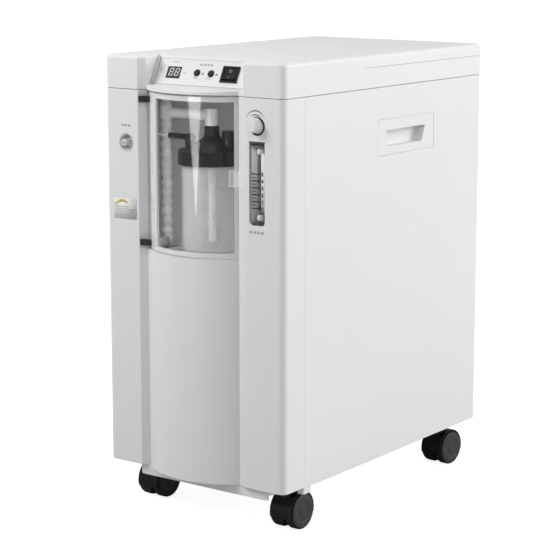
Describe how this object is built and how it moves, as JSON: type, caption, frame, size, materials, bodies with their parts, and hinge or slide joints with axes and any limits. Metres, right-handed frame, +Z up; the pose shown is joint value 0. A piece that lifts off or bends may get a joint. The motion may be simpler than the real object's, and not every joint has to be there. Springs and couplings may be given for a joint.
{
  "type": "oxygen concentrator",
  "caption": "Upright oxygen concentrator on twin-wheel casters, with a clear humidifier door, flowmeter, flow knob, console and opening rear lid.",
  "frame": {"origin": "on the floor, below the middle of the casing's bounding box", "axes": "+Z up, front with the humidifier door towards -Y, +X to the right of someone facing the front"},
  "size_m": [0.3, 0.514, 0.625],
  "materials": {
    "casing_white": "satin moulded",
    "cover_white": "satin moulded",
    "compartment_grey": "fine matte",
    "door_clear": "clear polished",
    "door_white": "gloss",
    "hinge_black": "satin",
    "console_white": "satin film",
    "display_dark": "smoked gloss",
    "button_grey": "satin",
    "switch_black": "gloss",
    "knob_white": "satin",
    "meter_clear": "clear polished",
    "float_black": "polished",
    "outlet_white": "satin",
    "bottle_clear": "clear",
    "lid_black": "satin",
    "tube_clear": "translucent",
    "hose_clear": "translucent ribbed",
    "pan_grey": "powder coat",
    "caster_black": "satin",
    "wheel_grey": "satin",
    "steel": "ground",
    "cast_aluminium": "as cast",
    "column_shell": "satin",
    "coil_copper": "drawn",
    "mount_rubber": "matte",
    "fan_black": "satin",
    "board_green": "solder mask",
    "capacitor_grey": "satin",
    "foam_grey": "open-cell foam",
    "inlet_black": "matte"
  },
  "bodies": {
    "casing": {"front_fascia": "casing_white", "side_panel_right": "casing_white", "side_panel_left": "casing_white", "handle_cup_right": "casing_white", "handle_cup_left": "casing_white", "rear_panel": "casing_white", "base_pan": "pan_grey", "top_cover": "cover_white", "lid_hinge_rod": "steel", "console_plate": "console_white", "display_window": "display_dark", "rocker_frame": "switch_black", "compartment_tub": "compartment_grey", "door_hinge_upper": "hinge_black", "door_hinge_lower": "hinge_black", "bottle_lid": "lid_black", "relief_valve": "lid_black", "dip_tube": "tube_clear", "inlet_elbow": "tube_clear", "feed_tube": "tube_clear", "corrugated_hose": "hose_clear", "outlet_connector": "lid_black", "outlet_tube": "tube_clear", "outlet_cup": "outlet_white", "outlet_nozzle": "outlet_white", "flowmeter_block": "meter_clear", "power_inlet": "inlet_black", "compressor_motor": "cast_aluminium", "compressor_head_front": "cast_aluminium", "compressor_head_rear": "cast_aluminium", "compressor_cradle": "mount_rubber", "sieve_column_left": "column_shell", "sieve_column_right": "column_shell", "product_tank": "column_shell", "valve_block": "cast_aluminium", "cooling_coil": "coil_copper", "fan_frame": "fan_black", "control_board": "board_green", "start_capacitor": "capacitor_grey"},
    "door": {"door_shell": "door_clear", "door_frame": "door_white", "door_pull_tab": "door_clear"},
    "lid": {"rear_lid": "cover_white"},
    "knob": {"flow_knob": "knob_white"},
    "float": {"flowmeter_float": "float_black"},
    "switch": {"rocker": "switch_black"},
    "up_button": {"button_up": "button_grey"},
    "down_button": {"button_down": "button_grey"},
    "humidifier_bottle": {"bottle": "bottle_clear"},
    "fan": {"fan_rotor": "fan_black"},
    "filter": {"filter_cover": "casing_white", "filter_foam": "foam_grey"},
    "front_left_swivel": {"caster_front_left_hood": "caster_black"},
    "front_right_swivel": {"caster_front_right_hood": "caster_black"},
    "rear_left_swivel": {"caster_rear_left_hood": "caster_black"},
    "rear_right_swivel": {"caster_rear_right_hood": "caster_black"},
    "front_left_wheels": {"caster_front_left_wheels": "wheel_grey"},
    "front_right_wheels": {"caster_front_right_wheels": "wheel_grey"},
    "rear_left_wheels": {"caster_rear_left_wheels": "wheel_grey"},
    "rear_right_wheels": {"caster_rear_right_wheels": "wheel_grey"}
  },
  "joints": [
    {"name": "door_hinge", "type": "hinge", "parent": "casing", "child": "door", "pos_m": [-0.0835, -0.2304, 0.47], "axis": [0, 0, -1], "range_deg": [0, 110]},
    {"name": "lid_hinge", "type": "hinge", "parent": "casing", "child": "lid", "pos_m": [0, 0.252, 0.612], "axis": [-1, 0, 0], "range_deg": [0, 90]},
    {"name": "knob_turn", "type": "hinge", "parent": "casing", "child": "knob", "pos_m": [0.106, -0.233, 0.545], "axis": [0, -1, 0], "range_deg": [0, 720]},
    {"name": "float_rise", "type": "slide", "parent": "casing", "child": "float", "axis": [0, 0, 1], "range_m": [0, 0.06]},
    {"name": "switch_rock", "type": "hinge", "parent": "casing", "child": "switch", "pos_m": [0.04375, -0.20553, 0.60395], "axis": [1, 0, 0], "range_deg": [0, 16]},
    {"name": "up_press", "type": "slide", "parent": "casing", "child": "up_button", "axis": [0, 0.8944, -0.4472], "range_m": [0, 0.0015], "stiffness_N_per_m": 400, "springref_m": -0.0005},
    {"name": "down_press", "type": "slide", "parent": "casing", "child": "down_button", "axis": [0, 0.8944, -0.4472], "range_m": [0, 0.0015], "stiffness_N_per_m": 400, "springref_m": -0.0005},
    {"name": "bottle_unscrew", "type": "hinge", "parent": "casing", "child": "humidifier_bottle", "pos_m": [0, -0.19, 0.433], "axis": [0, 0, -1], "range_deg": [0, 360]},
    {"name": "fan_spin", "type": "hinge", "parent": "casing", "child": "fan", "pos_m": [0, -0.07, 0.295], "axis": [0, 1, 0], "continuous": true},
    {"name": "filter_pull", "type": "slide", "parent": "casing", "child": "filter", "axis": [0, 1, 0], "range_m": [0, 0.04]},
    {"name": "front_left_turn", "type": "hinge", "parent": "casing", "child": "front_left_swivel", "pos_m": [-0.1145, -0.179, 0.06], "axis": [0, 0, 1], "continuous": true},
    {"name": "front_right_turn", "type": "hinge", "parent": "casing", "child": "front_right_swivel", "pos_m": [0.12, -0.184, 0.06], "axis": [0, 0, 1], "continuous": true},
    {"name": "rear_left_turn", "type": "hinge", "parent": "casing", "child": "rear_left_swivel", "pos_m": [-0.12, 0.197, 0.06], "axis": [0, 0, 1], "continuous": true},
    {"name": "rear_right_turn", "type": "hinge", "parent": "casing", "child": "rear_right_swivel", "pos_m": [0.12, 0.197, 0.06], "axis": [0, 0, 1], "continuous": true},
    {"name": "front_left_roll", "type": "hinge", "parent": "front_left_swivel", "child": "front_left_wheels", "pos_m": [-0.1145, -0.169, 0.02479], "axis": [1, 0, 0], "continuous": true},
    {"name": "front_right_roll", "type": "hinge", "parent": "front_right_swivel", "child": "front_right_wheels", "pos_m": [0.12, -0.174, 0.02479], "axis": [1, 0, 0], "continuous": true},
    {"name": "rear_left_roll", "type": "hinge", "parent": "rear_left_swivel", "child": "rear_left_wheels", "pos_m": [-0.12105, 0.20695, 0.02479], "axis": [0.9945, 0.1045, 0], "continuous": true},
    {"name": "rear_right_roll", "type": "hinge", "parent": "rear_right_swivel", "child": "rear_right_wheels", "pos_m": [0.12087, 0.20696, 0.02479], "axis": [0.9962, -0.0872, 0], "continuous": true}
  ]
}
